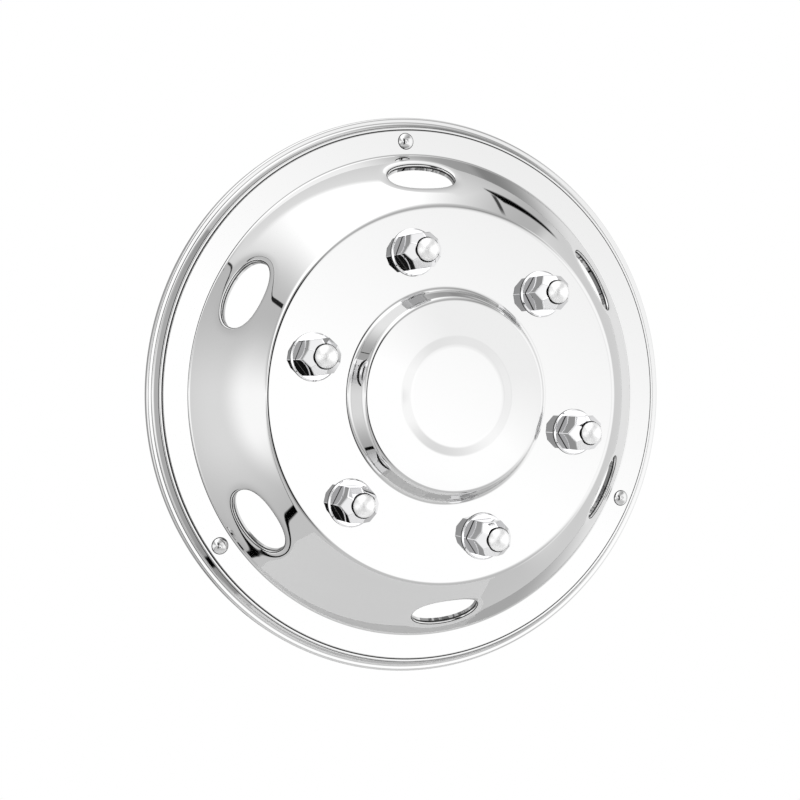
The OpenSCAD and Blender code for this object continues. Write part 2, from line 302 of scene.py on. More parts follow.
def holed_band(skin, outer, inner, band, count, phase, hole_rings, side_steps, steps, every=1):
    """A band of the skin between two rings, cut into equal sectors with a hole in every so many.

    hole_rings(centre angle, shares, angles) gives the hole's rows of points and normals, from its
    widest outline inwards, each with whether the faces before it are shaded. The rows between that
    outline and the sector's edges are worked out here. Returns the innermost loop of each hole.
    """
    row_at, share_of = band
    per = TURN // count
    width = 360 / count
    shares = np.arange(1, side_steps) / side_steps
    sides = []
    for j in range(count):
        rows = [turned_row(row_at(s), np.radians([phase + width * j])) for s in shares]
        sides.append(skin.add([p[0] for p, n in rows], [n[0] for p, n in rows]))
    loops = []
    for j in range(count):
        low = [outer["points"][(j * per + i) % TURN] for i in range(per + 1)]
        high = [inner["points"][(j * per + i) % TURN] for i in range(per + 1)]
        if j % every:
            last = low
            inside = np.radians(phase + width * (j + np.arange(1, per) / per))
            for k, share in enumerate(shares):
                row = skin.add(*turned_row(row_at(share), inside))
                row = [sides[j][k], *row, sides[(j + 1) % count][k]]
                skin.patch(last, row)
                last = row
            skin.patch(last, high)
            continue
        border = low + sides[(j + 1) % count] + high[::-1] + sides[j][::-1]
        share = np.array([0.0] * (per + 1) + list(shares) + [1.0] * (per + 1) + list(shares[::-1]))
        angle = np.array([width * i / per for i in range(per + 1)] + [width] * len(shares)
                         + [width * (per - i) / per for i in range(per + 1)] + [0.0] * len(shares))
        angle += phase + width * j
        middle = phase + width * (j + 0.5)
        rows = hole_rings(middle, share, angle)
        rim = rows[0][0]
        rim_angle = np.degrees(np.arctan2(rim[:, 1], rim[:, 0]))
        rim_angle = middle + (rim_angle - middle + 180) % 360 - 180
        rim_share = share_of(rim)
        last = border
        for k in range(1, steps):
            t = k / steps
            row_angle = np.radians(angle + (rim_angle - angle) * t)
            placed_rows = [turned_row(row_at(s), np.array([a]))
                           for s, a in zip(share + (rim_share - share) * t, row_angle)]
            row = skin.add([p[0] for p, n in placed_rows], [n[0] for p, n in placed_rows])
            skin.strip(last, row)
            last = row
        for points, normals, shaded in rows:
            row = skin.add(points, normals)
            first = len(skin.faces)
            skin.strip(last, row)
            if shaded:
                skin.shade_from(first)
            last = row
        loops.append(last)
    return loops


def superellipse(directions, length, width, fullness):
    """Points of an oval with its length along the second axis, and the outward normals there."""
    c, s = np.cos(directions), np.sin(directions)
    e = 2 / fullness
    points = np.stack([width / 2 * np.sign(c) * np.abs(c) ** e,
                       length / 2 * np.sign(s) * np.abs(s) ** e], -1)
    size = np.array([width, length])
    normals = np.sign(points) * np.abs(2 * points / size) ** (fullness - 1) / size
    return points, normals / np.linalg.norm(normals, axis=1, keepdims=True)


WALL_FOOT = np.array([LIP_IN_R, LIP_Z])
WALL_HEAD = np.array([FACE_R, FACE_Z])
WALL_LEN = np.linalg.norm(WALL_HEAD - WALL_FOOT)
WALL_DIR = unit(WALL_HEAD - WALL_FOOT)
WALL_OUT = outward(WALL_DIR)


def wall_bow(run):
    """How far the wall stands out from the line between its ends, and its slope there."""
    return (4 * WALL_BOW * run * (WALL_LEN - run) / WALL_LEN ** 2,
            4 * WALL_BOW * (WALL_LEN - 2 * run) / WALL_LEN ** 2)


def wall_row(run):
    """Profile row of the bowed wall at a run up the line between its ends."""
    height, slope = wall_bow(run)
    return [*(WALL_FOOT + WALL_DIR * run + WALL_OUT * height), *unit(WALL_OUT - WALL_DIR * slope)]


def wall_end(flat_z, towards, radius):
    """Run at which the wall leaves the bend from a flat, and the corner where they would meet."""
    run = radius / 2 if towards < 0 else WALL_LEN - radius / 2
    for _ in range(CURVE_ROUNDS):
        row = np.array(wall_row(run))
        along = np.array([-row[3], row[2]])
        corner = row[:2] + along * (flat_z - row[1]) / along[1]
        reach = radius * math.tan(math.acos(row[3]) / 2)
        run += towards * (np.linalg.norm(row[:2] - corner) - reach)
    return run, corner


def wall_band(start_run, end_run):
    """The bowed wall between two runs, as straight_band gives a straight one."""
    def row_at(share):
        return wall_row(start_run + (end_run - start_run) * share)

    def share_of(points):
        offset = np.stack([np.hypot(points[:, 0], points[:, 1]), points[:, 2]], -1) - WALL_FOOT
        return (offset @ WALL_DIR - start_run) / (end_run - start_run)

    return row_at, share_of


def wall_surface(plane_points, middle):
    """Points of the round wall over its tangent plane at a hand hole's middle, and its normals.

    Plane points are given up the wall and along its round. Returned points and normals are in the
    wheel's frame, and the plane's three directions come with them.
    """
    c, s = math.cos(math.radians(middle)), math.sin(math.radians(middle))
    up = np.array([WALL_DIR[0] * c, WALL_DIR[0] * s, WALL_DIR[1]])
    along = np.array([-s, c, 0.0])
    out = np.array([WALL_OUT[0] * c, WALL_OUT[0] * s, WALL_OUT[1]])
    centre_r, centre_z = WALL_FOOT + WALL_DIR * HOLE_RUN
    centre = np.array([centre_r * c, centre_r * s, centre_z])
    base = centre + plane_points[:, :1] * up + plane_points[:, 1:] * along
    height = np.zeros(len(base))
    for _ in range(CURVE_ROUNDS):
        p = base + height[:, None] * out
        offset = np.stack([np.hypot(p[:, 0], p[:, 1]), p[:, 2]], -1) - WALL_FOOT
        bow, slope = wall_bow(offset @ WALL_DIR)
        height -= offset @ WALL_OUT - bow
    p = base + height[:, None] * out
    radius = np.hypot(p[:, 0], p[:, 1])
    flat = WALL_OUT - slope[:, None] * WALL_DIR
    around = p[:, :2] / radius[:, None]
    normals = np.concatenate([flat[:, :1] * around, flat[:, 1:]], 1)
    return p, normals / np.linalg.norm(normals, axis=1, keepdims=True), up, along, out


def hand_hole_rings(middle, share, angle):
    """Rows of one hand hole: the sheet dips towards it, bends in and ends in a short collar."""
    plane_u = share - 0.5
    plane_v = (angle - middle) / (360 / HOLE_COUNT)
    directions = np.arctan2(plane_v, plane_u)
    edge, edge_out = superellipse(directions, HOLE_LEN, HOLE_WID, HOLE_FULLNESS)
    first = math.atan(3 * HOLE_DIP / HOLE_DIP_W)
    arc_start = HOLE_BEND * (1 - math.sin(first))
    rows = []

    def add(reach, drop, slope_cos, slope_sin, shaded=False):
        p, n, up, along, out = wall_surface(edge + edge_out * reach, middle)
        sideways = edge_out[:, :1] * up + edge_out[:, 1:] * along
        across = (n @ out)[:, None]
        rows.append((p - drop * out, n / across * slope_cos - sideways * slope_sin, shaded))

    for k in range(DIP_STEPS + 1):
        t = k / DIP_STEPS
        reach = arc_start + HOLE_DIP_W * (1 - t)
        slope = 3 * HOLE_DIP / HOLE_DIP_W * t ** 2
        add(reach, HOLE_DIP * t ** 3, 1.0, slope)
    # Bend steps listed in HOLE_LINES and the first COLLAR_LINE share of the collar are painted
    # dark, as painted dark reflections
    for k in range(1, HOLE_BEND_STEPS + 1):
        a = first + (math.pi / 2 - first) * k / HOLE_BEND_STEPS
        add(HOLE_BEND * (1 - math.sin(a)), HOLE_DIP + HOLE_BEND * (math.cos(first) - math.cos(a)),
            math.cos(a), math.sin(a), k in HOLE_LINES)
    straight = HOLE_DEPTH - HOLE_DIP - HOLE_BEND * math.cos(first)
    for share in (COLLAR_LINE, 1.0):
        add(0.0, HOLE_DEPTH - straight * (1 - share), 0.0, 1.0, share < 1.0)
    return rows


def round_hole_rings(count, radius, place_r, height):
    """Rows of a plain round hole through a flat band that holds so many of them."""
    def rings(middle, share, angle):
        c, s = math.cos(math.radians(middle)), math.sin(math.radians(middle))
        directions = np.arctan2((angle - middle) / (360 / count), 0.5 - share)
        local = np.stack([np.cos(directions), np.sin(directions)], -1)
        rows = []
        for r in (radius + 1.5, radius):
            x = place_r + local[:, 0] * r
            y = local[:, 1] * r
            points = np.stack([x * c - y * s, x * s + y * c, np.full(len(x), height)], -1)
            rows.append((points, np.tile([0.0, 0.0, 1.0], (len(x), 1)), False))
        return rows
    return rings


def mesh_object(name, skin, thickness=0.0, closing=()):
    """A mesh from a skin, with a parallel back and closed edges where it has a thickness."""
    points = np.array(skin.points)
    normals = np.array(skin.normals)
    normals /= np.linalg.norm(normals, axis=1, keepdims=True)
    faces = list(skin.faces)
    smooth = len(faces)
    count = len(points)
    if thickness:
        points = np.vstack([points, points - normals * thickness])
        normals = np.vstack([normals, -normals])
        faces += [tuple(count + i for i in reversed(f)) for f in faces]
        smooth = len(faces)
        for loop in closing:
            size = len(loop)
            for i in range(size):
                a, b = loop[i], loop[(i + 1) % size]
                faces.append((b, a, count + a, count + b))
    mesh = bpy.data.meshes.new(name)
    mesh.from_pydata(placed(points).tolist(), [], faces)
    mesh.update()
    vertex_normals = facing(normals)
    mesh.polygons.foreach_set("use_smooth", [True] * len(mesh.polygons))
    for face, material in skin.shaded.items():
        mesh.polygons[face].material_index = material
    sharp = {frozenset((side + loop[i - 1], side + loop[i]))
             for loop in closing for i in range(len(loop)) for side in (0, count)}
    for edge in mesh.edges:
        edge.use_edge_sharp = frozenset(edge.vertices) in sharp
    split = []
    for polygon in mesh.polygons:
        for v in polygon.vertices:
            split.append(tuple(vertex_normals[v] if polygon.index < smooth else polygon.normal))
    mesh.normals_split_custom_set(split)
    piece = bpy.data.objects.new(name, mesh)
    bpy.context.scene.collection.objects.link(piece)
    return piece


def pressed_skin():
    """The whole pressed sheet, from the skirt's rear edge to the middle of the hub."""
    skin = Skin()
    foot_run, foot = wall_end(LIP_Z, -1, ROOT_BEND)
    head_run, head = wall_end(FACE_Z, 1, FACE_BEND)
    foot_up, head_down = np.array(wall_row(foot_run)[:2]), np.array(wall_row(head_run)[:2])
    border_in_r = LIP_OUT_R - BORDER_W
    rim = [(RIM_R, 0), (RIM_R, FLANGE_Z), (STEP_FOOT_R, FLANGE_Z), (LIP_OUT_R, LIP_Z - BORDER_H),
           (border_in_r, LIP_Z - BORDER_H), (border_in_r - BORDER_SLOPE_W, LIP_Z), tuple(foot)]
    rim_radii = [SKIRT_BEND, ROOT_BEND, SHOULDER_BEND, BORDER_BEND, BORDER_BEND]
    rim_bends = [bend(*rim[i:i + 3], radius) for i, radius in enumerate(rim_radii)]
    foot_bend = bend(rim[-2], foot, foot + (foot_up - foot) * 9, ROOT_BEND)
    hub = [tuple(head), (HUB_FOOT_R, FACE_Z), (HUB_TOP_R, HUB_Z), (BOSS_R, CROWN_Z),
           (BOSS_R - BOSS_SLOPE_W, BOSS_Z), (0, BOSS_Z)]
    hub_radii = [HUB_ROOT_BEND, HUB_BEND, BOSS_BEND, BOSS_BEND]
    head_bend = bend(head + (head_down - head) * 9, head, hub[1], FACE_BEND)
    hub_bends = [bend(*hub[i:i + 3], radius) for i, radius in enumerate(hub_radii)]
    lip_phase = RIVET_ANGLE - 180 / LIP_SECTORS
    wall_phase = HOLE_ANGLE - 180 / HOLE_COUNT
    face_phase = NUT_ANGLE - 180 / NUT_COUNT

    def run(rows, phase, last):
        for row in rows:
            ring = skin.ring(row, phase)
            skin.join(last, ring)
            last = ring
        return last

    last = edge = skin.ring([RIM_R, 0, 1, 0], lip_phase)
    skirt_bend, root_bend, shoulder_bend, border_foot, border_top = rim_bends
    half = len(shoulder_bend) // 2
    last = run(skirt_bend + root_bend + shoulder_bend[:1], lip_phase, last)
    # The shoulder bend's first half is painted dark, a painted dark reflection line round the rim
    first = len(skin.faces)
    last = run(shoulder_bend[1:half], lip_phase, last)
    skin.shade_from(first)
    last = run(shoulder_bend[half:] + border_foot[:3], lip_phase, last)
    # The border's slope, between its two bends, is painted dark, a painted dark reflection line
    first = len(skin.faces)
    last = run(border_foot[3:] + border_top[:1], lip_phase, last)
    skin.shade_from(first)
    last = run(border_top[1:], lip_phase, last)
    lip = straight_band(rim_bends[-1][-1], foot_bend[0])
    lip_end = skin.ring(foot_bend[0], lip_phase)
    rivet_holes = round_hole_rings(LIP_SECTORS, RIVET_SHANK_R + HOLE_GAP, RIVET_R, LIP_Z)
    rivet_loops = holed_band(skin, last, lip_end, lip, LIP_SECTORS, lip_phase, rivet_holes,
                             *LIP_STEPS, LIP_SECTORS // RIVET_COUNT)
    last = run(foot_bend[1:], wall_phase, lip_end)
    wall_top = skin.ring(wall_row(head_run), wall_phase)
    hand_loops = holed_band(skin, last, wall_top, wall_band(foot_run, head_run), HOLE_COUNT,
                            wall_phase, hand_hole_rings, *WALL_STEPS)
    last = run(head_bend[1:], face_phase, wall_top)
    face = straight_band(head_bend[-1], hub_bends[0][0])
    face_end = skin.ring(hub_bends[0][0], face_phase)
    nut_holes = round_hole_rings(NUT_COUNT, BARREL_R + HOLE_GAP, STUD_R, FACE_Z)
    nut_loops = holed_band(skin, last, face_end, face, NUT_COUNT, face_phase, nut_holes,
                           *FACE_STEPS)
    crown = bend_steps_between(hub_bends[1][-1], hub_bends[2][0], 3)
    last = run(hub_bends[0][1:] + hub_bends[1] + crown + hub_bends[2] + hub_bends[3],
               face_phase, face_end)
    boss_row, _ = straight_band(hub_bends[3][-1], [0, BOSS_Z, 0, 1])
    for share in (0.3, 0.65, 0.9):
        last = run([boss_row(share)], face_phase, last)
    middle = skin.add([[0, 0, BOSS_Z]], [[0, 0, 1]])[0]
    for i in range(TURN):
        skin.faces.append((last["points"][i], last["points"][(i + 1) % TURN], middle))
    closing = [edge["points"][::-1]] + rivet_loops + hand_loops + nut_loops
    return mesh_object("pressed_skin", skin, SHEET_T, closing)


def bend_steps_between(start, end, count):
    """Extra rows on the straight run between two bends."""
    row_at, _ = straight_band(start, end)
    return [row_at(k / (count + 1)) for k in range(1, count + 1)]


def rounded_rows(corners):
    """Rows of a run through corners given as radius, height and bend radius."""
    first, last = (np.subtract(corners[i + 1][:2], corners[i][:2]) for i in (0, -2))
    rows = [[*corners[0][:2], *outward(unit(first))]]
    for a, b, c in zip(corners, corners[1:], corners[2:]):
        rows += bend(a[:2], b[:2], c[:2], b[2], SMALL_BEND_STEP)
    return rows + [[*corners[-1][:2], *outward(unit(last))]]


def ball_cap(ball_r, top, start_angle, end_angle, steps):
    """Rows of a round cap with its top at a height, between two angles from its axis."""
    rows = []
    for k in range(steps + 1):
        a = start_angle + (end_angle - start_angle) * k / steps
        rows.append([ball_r * math.sin(a), top - ball_r * (1 - math.cos(a)),
                     math.sin(a), math.cos(a)])
    return rows


def turn_rows(skin, rows, centre, count=SMALL_TURN):
    """Turns rows about an axis parallel to the wheel's, through a centre in the wheel's frame."""
    angles = 2 * np.pi * np.arange(count) / count
    last = None
    for row in rows:
        at_axis = row[0] < 1e-6
        points, normals = turned_row(row, np.zeros(1) if at_axis else angles)
        ids = skin.add(points + np.asarray(centre), normals)
        if last is not None:
            for i in range(count):
                j = (i + 1) % count
                if at_axis:
                    skin.faces.append((last[i], last[j], ids[0]))
                elif len(last) == 1:
                    skin.faces.append((last[0], ids[j], ids[i]))
                else:
                    skin.faces.append((last[i], last[j], ids[j], ids[i]))
        last = ids


def nut_planes():
    """Normals and distances of the hexagon's sides and of the facets that cut its corners."""
    corner_r = NUT_AF / 2 / math.cos(math.pi / 6)
    normals, reach = [], []
    for k in range(6):
        side, corner = math.radians(30 + 60 * k), math.radians(60 * k)
        normals.append([math.cos(side), math.sin(side), 0.0])
        reach.append(NUT_AF / 2)
        size = math.hypot(FACET_SLOPE, 1)
        normals.append([FACET_SLOPE * math.cos(corner) / size,
                        FACET_SLOPE * math.sin(corner) / size, 1 / size])
        reach.append((NUT_CORNER_H + FACET_SLOPE * corner_r) / size)
    return np.array(normals), np.array(reach)


def softened(points, planes, reach):
    """Points moved onto the planes' common solid with its edges rounded, and the normals there."""
    for _ in range(SOFTENING_ROUNDS):
        over = (points @ planes.T - reach) / EDGE_SOFTNESS
        top = over.max(1, keepdims=True)
        weights = np.exp(over - top)
        level = (np.log(weights.sum(1)) + top[:, 0]) * EDGE_SOFTNESS
        normals = weights @ planes / weights.sum(1, keepdims=True)
        points = points - normals * (level / (normals ** 2).sum(1))[:, None]
    return points, normals / np.linalg.norm(normals, axis=1, keepdims=True)


def nut_cover(number):
    """Nut cover: flange and barrel, hexagon with sloping facets, and dome, with soft edges."""
    angle = math.radians(NUT_ANGLE + 360 / NUT_COUNT * (number - 1))
    centre = np.array([STUD_R * math.cos(angle), STUD_R * math.sin(angle), FACE_Z])
    corner_r = NUT_AF / 2 / math.cos(math.pi / 6)
    bevel = NUT_FLANGE_T / 2
    skin = Skin()
    turn_rows(skin, rounded_rows([
        (0, BORE_TOP, 0), (BORE_R, BORE_TOP, 0.5), (BORE_R, -SHEET_T - BARREL_LEN, 0.3),
        (BARREL_R, -SHEET_T - BARREL_LEN, 0.3), (BARREL_R, 0, 0.1), (NUT_FLANGE_R, 0, 0)]), centre)
    # The flange's side wall is painted dark, a painted dark reflection outline
    first = len(skin.faces)
    edge_rows = rounded_rows([(NUT_FLANGE_R, 0, 0), (NUT_FLANGE_R, NUT_FLANGE_T - bevel, 0.6),
                              (NUT_FLANGE_R - bevel, NUT_FLANGE_T, 0.6), (BORE_R, NUT_FLANGE_T, 0)])
    turn_rows(skin, edge_rows[:2], centre)
    skin.shade_from(first)
    turn_rows(skin, edge_rows[1:], centre)

    offsets = [0, 0.5, 1.2, 2.1, 3.4, 6, 12, 19, 24, 27, 28.4, 29.4]
    half = offsets + [30] + [60 - a for a in offsets[:0:-1]]
    turned = math.radians(NUT_TURNS[number - 1])
    around = np.radians(np.concatenate([60 * k + np.array(half) for k in range(6)]))
    side_r = NUT_AF / 2 / np.cos(around % (math.pi / 3) - math.pi / 6)
    off_corner = (around + math.pi / 6) % (math.pi / 3) - math.pi / 6

    def facet_height(r):
        return NUT_CORNER_H + (corner_r - r * np.cos(off_corner)) * FACET_SLOPE

    planes, reach = nut_planes()
    last = None
    foot_heights = (NUT_FLANGE_T / 2, NUT_FLANGE_T + FOOT_LINE_H)
    rows = [(side_r, np.full_like(side_r, z)) for z in foot_heights]
    rows += [(side_r, facet_height(side_r) - drop) for drop in (4.0, 1.3, 0.7, 0.3)]
    rows += [(r, facet_height(r)) for r in (side_r - inset for inset in (0.0, 0.2, 0.45, 0.8, 1.8))]
    rows.append((np.full_like(side_r, DOME_R + CREASE_W), facet_height(DOME_R + CREASE_W)))
    c, t = math.cos(turned), math.sin(turned)
    turn = np.array([[c, t, 0], [-t, c, 0], [0, 0, 1]])
    for r, z in rows:
        points = np.stack([r * np.cos(around), r * np.sin(around), z], -1)
        points, normals = softened(points, planes, reach)
        ids = skin.add(points @ turn + centre, normals @ turn)
        if last is not None:
            skin.strip(last, ids)
        else:
            foot = len(skin.faces)
        last = ids
    # The first strip, at the hexagon's foot, is painted dark, a painted dark reflection line
    skin.shade_strip(foot, len(around))
    inwards = np.stack([-np.cos(around), -np.sin(around), 0 * around], -1)
    top, bottom = points @ turn + centre, points @ turn + centre - (0, 0, CREASE_DEPTH)
    inner = (points * (0.9, 0.9, 1)) @ turn + centre - (0, 0, CREASE_DEPTH)
    upwards = np.tile([0.0, 0.0, 1.0], (len(around), 1))
    # The crease round the dome's foot is painted dark inside, painted shade
    first = len(skin.faces)
    skin.strip(skin.add(top, inwards @ turn), skin.add(bottom, inwards @ turn))
    skin.strip(skin.add(bottom, upwards), skin.add(inner, upwards))
    skin.shade_from(first)

    side_z = NUT_CORNER_H + (corner_r - DOME_R * math.cos(math.pi / 6)) * FACET_SLOPE
    cap_h = NUT_H - side_z
    ball_r = (DOME_R ** 2 + cap_h ** 2) / (2 * cap_h)
    cap_angle = math.asin(DOME_R / ball_r)
    edge = (DOME_R, side_z)
    cap_side = (DOME_R - math.cos(cap_angle), side_z + math.sin(cap_angle))
    shoulder = bend((DOME_R, 0), edge, cap_side, 1.5)
    cap_start = math.asin(shoulder[-1][0] / ball_r)
    # The dome's upright wall is painted dark, a painted dark reflection
    first = len(skin.faces)
    turn_rows(skin, [[DOME_R, NUT_CORNER_H, 1, 0], shoulder[0]], centre)
    skin.shade_from(first)
    # The dome's shoulder and cap take the lighter chrome, a painted highlight
    first = len(skin.faces)
    turn_rows(skin, shoulder + ball_cap(ball_r, NUT_H, cap_start, 0.0, CAP_STEPS)[1:], centre)
    skin.shade_from(first, 2)
    return mesh_object(f"nut_cover_skin_{number}", skin)


def clip_rivet(number):
    """Rivet: a domed head with a centre dimple, its shank and its set end."""
    angle = math.radians(RIVET_ANGLE + 360 / RIVET_COUNT * (number - 1))
    centre = np.array([RIVET_R * math.cos(angle), RIVET_R * math.sin(angle), 0.0])
    ball_r = (RIVET_HEAD_R ** 2 + RIVET_HEAD_H ** 2) / (2 * RIVET_HEAD_H)
    top = LIP_Z + RIVET_HEAD_H
    dimple_edge = top - ball_r + math.sqrt(ball_r ** 2 - DIMPLE_R ** 2)
    tail_z, tail_bevel = CLIP_BACK_Z - RIVET_TAIL_H, RIVET_TAIL_H / 2
    below = rounded_rows([
        (0, tail_z, 0), (RIVET_TAIL_R - tail_bevel, tail_z, 0.5),
        (RIVET_TAIL_R, CLIP_BACK_Z - tail_bevel, 0.5), (RIVET_TAIL_R, CLIP_BACK_Z, 0.1),
        (RIVET_SHANK_R, CLIP_BACK_Z, 0.1), (RIVET_SHANK_R, LIP_Z, 0.1), (RIVET_HEAD_R, LIP_Z, 0)])
    cap = ball_cap(ball_r, top, math.asin(RIVET_HEAD_R / ball_r),
                   math.asin((DIMPLE_R + 0.3) / ball_r), CAP_STEPS)
    dimple = bend(cap[-1][:2], (DIMPLE_R, dimple_edge), (0, dimple_edge - 2 * DIMPLE_DEPTH), 0.35)
    floor = bend((DIMPLE_R, dimple_edge), (DIMPLE_R / 2, dimple_edge - DIMPLE_DEPTH),
                 (0, dimple_edge - DIMPLE_DEPTH), 0.8)
    skin = Skin()
    turn_rows(skin, below, centre, RIVET_TURN)
    # The head's outermost cap steps are painted dark, a painted dark outline round the rivet's foot
    first = len(skin.faces)
    turn_rows(skin, cap[:3], centre, RIVET_TURN)
    skin.shade_from(first)
    dimple_floor = [[0, dimple_edge - DIMPLE_DEPTH, 0, 1]]
    turn_rows(skin, cap[2:] + dimple + floor + dimple_floor, centre, RIVET_TURN)
    return mesh_object(f"clip_rivet_skin_{number}", skin)


class Field:
    """A number worked out by shader nodes, so that a formula can be written out plainly."""

    def __init__(self, tree, socket):
        self.tree = tree
        self.socket = socket

    def math(self, operation, *others):
        node = self.tree.nodes.new("ShaderNodeMath")
        node.operation = operation
        for place, value in enumerate((self, *others)):
            if isinstance(value, Field):
                self.tree.links.new(value.socket, node.inputs[place])
            else:
                node.inputs[place].default_value = value
        return Field(self.tree, node.outputs["Value"])

    def __add__(self, other):
        return self.math("ADD", other)

    def __sub__(self, other):
        return self.math("SUBTRACT", other)

    def __mul__(self, other):
        return self.math("MULTIPLY", other)

    def __neg__(self):
        return self.math("MULTIPLY", -1.0)

    def __abs__(self):
        return self.math("ABSOLUTE")

    def low(self, other):
        return self.math("MINIMUM", other)

    def high(self, other):
        return self.math("MAXIMUM", other)

    def rise(self, start, end):
        """0 before start and 1 past end, with a smooth step between them."""
        node = self.tree.nodes.new("ShaderNodeMapRange")
        node.interpolation_type = "SMOOTHSTEP"
        self.tree.links.new(self.socket, node.inputs["Value"])
        node.inputs["From Min"].default_value = start
        node.inputs["From Max"].default_value = end
        return Field(self.tree, node.outputs["Result"])

    def fall(self, start, end):
        """1 before start and 0 past end."""
        return -self.rise(start, end) + 1.0

    def between(self, low_start, low_end, high_start, high_end):
        """1 from low_end to high_start, falling smoothly to 0 on either side."""
        return self.rise(low_start, low_end) * self.fall(high_start, high_end)

    def mixed(self, other, share):
        """This field where share is 0, and the other one where it is 1."""
        return self + share * (other - self if isinstance(other, Field) else -self + other)


def new_material(name):
    """Material with its Principled shader and a helper for its nodes."""
    material = bpy.data.materials.new(name)
    material.use_nodes = True
    tree = material.node_tree
    return material, tree, tree.nodes["Principled BSDF"]


def noise(tree, scale, detail, stretch=(1.0, 1.0, 1.0)):
    """Noise in the object's own metres, from 0 to 1."""
    place = tree.nodes.new("ShaderNodeTexCoord")
    mapping = tree.nodes.new("ShaderNodeMapping")
    mapping.inputs["Scale"].default_value = stretch
    tree.links.new(place.outputs["Object"], mapping.inputs["Vector"])
    node = tree.nodes.new("ShaderNodeTexNoise")
    node.inputs["Scale"].default_value = scale
    node.inputs["Detail"].default_value = detail
    tree.links.new(mapping.outputs["Vector"], node.inputs["Vector"])
    return Field(tree, node.outputs["Fac"])


def bright_metal(name, colour, smooth_roughness, rough_roughness):
    """Polished metal whose gloss varies a little, as it does after buffing."""
    material, tree, shader = new_material(name)
    shader.inputs["Base Color"].default_value = (*colour, 1)
    shader.inputs["Metallic"].default_value = 1.0
    patches = noise(tree, 14.0, 3.0).rise(0.3, 0.75)
    gloss = patches * (rough_roughness - smooth_roughness) + smooth_roughness
    tree.links.new(gloss.socket, shader.inputs["Roughness"])
    return material


def spring_steel():
    """Satin strip steel with fine lines along its rolling direction and a few darker heat marks."""
    material, tree, shader = new_material("spring_steel")
    shader.inputs["Metallic"].default_value = 1.0
    lines = noise(tree, 60.0, 4.0, (1.0, 12.0, 12.0))
    marks = noise(tree, 35.0, 3.0)
    ramp = tree.nodes.new("ShaderNodeMix")
    ramp.data_type = "RGBA"
    ramp.inputs["A"].default_value = (0.42, 0.42, 0.43, 1)
    ramp.inputs["B"].default_value = (0.60, 0.60, 0.61, 1)
    tree.links.new((lines * 0.5 + marks * 0.5).rise(0.3, 0.7).socket, ramp.inputs["Factor"])
    tree.links.new(ramp.outputs["Result"], shader.inputs["Base Color"])
    tree.links.new((lines * 0.2 + 0.2).socket, shader.inputs["Roughness"])
    bump = tree.nodes.new("ShaderNodeBump")
    bump.inputs["Strength"].default_value = 0.15
    bump.inputs["Distance"].default_value = 0.0002
    tree.links.new(lines.socket, bump.inputs["Height"])
    tree.links.new(bump.outputs["Normal"], shader.inputs["Normal"])
    return material


def photo_camera():
    """Camera at the photograph's viewing angle, fitted to the circles of the rim, face and hub."""
    azimuth, elevation = math.radians(-22.126), math.radians(0.871)
    distance, focal_px, image_px = 5.343 * RIM_R * MM, 1475.0, 800.0
    centre_px = (419.453, 394.963)
    centre = Vector((0, SEAT_Y - 4.0 * MM, 0))
    back = Vector((math.sin(azimuth) * math.cos(elevation),
                   -math.cos(azimuth) * math.cos(elevation), math.sin(elevation)))
    right = Vector((math.cos(azimuth), math.sin(azimuth), 0))
    up = back.cross(right)
    across = (centre_px[0] - image_px / 2) * distance / focal_px
    above = -(centre_px[1] - image_px / 2) * distance / focal_px
    data = bpy.data.cameras.new("camera")
    data.sensor_width = 36.0
    data.sensor_fit = "HORIZONTAL"
    data.lens = focal_px / image_px * data.sensor_width
    data.clip_start = 0.01
    data.clip_end = 50.0
    camera = bpy.data.objects.new("camera", data)
    bpy.context.scene.collection.objects.link(camera)
    camera.location = centre + back * distance - right * across - up * above
    camera.rotation_euler = Matrix((right, up, back)).transposed().to_euler()
    bpy.context.scene.camera = camera


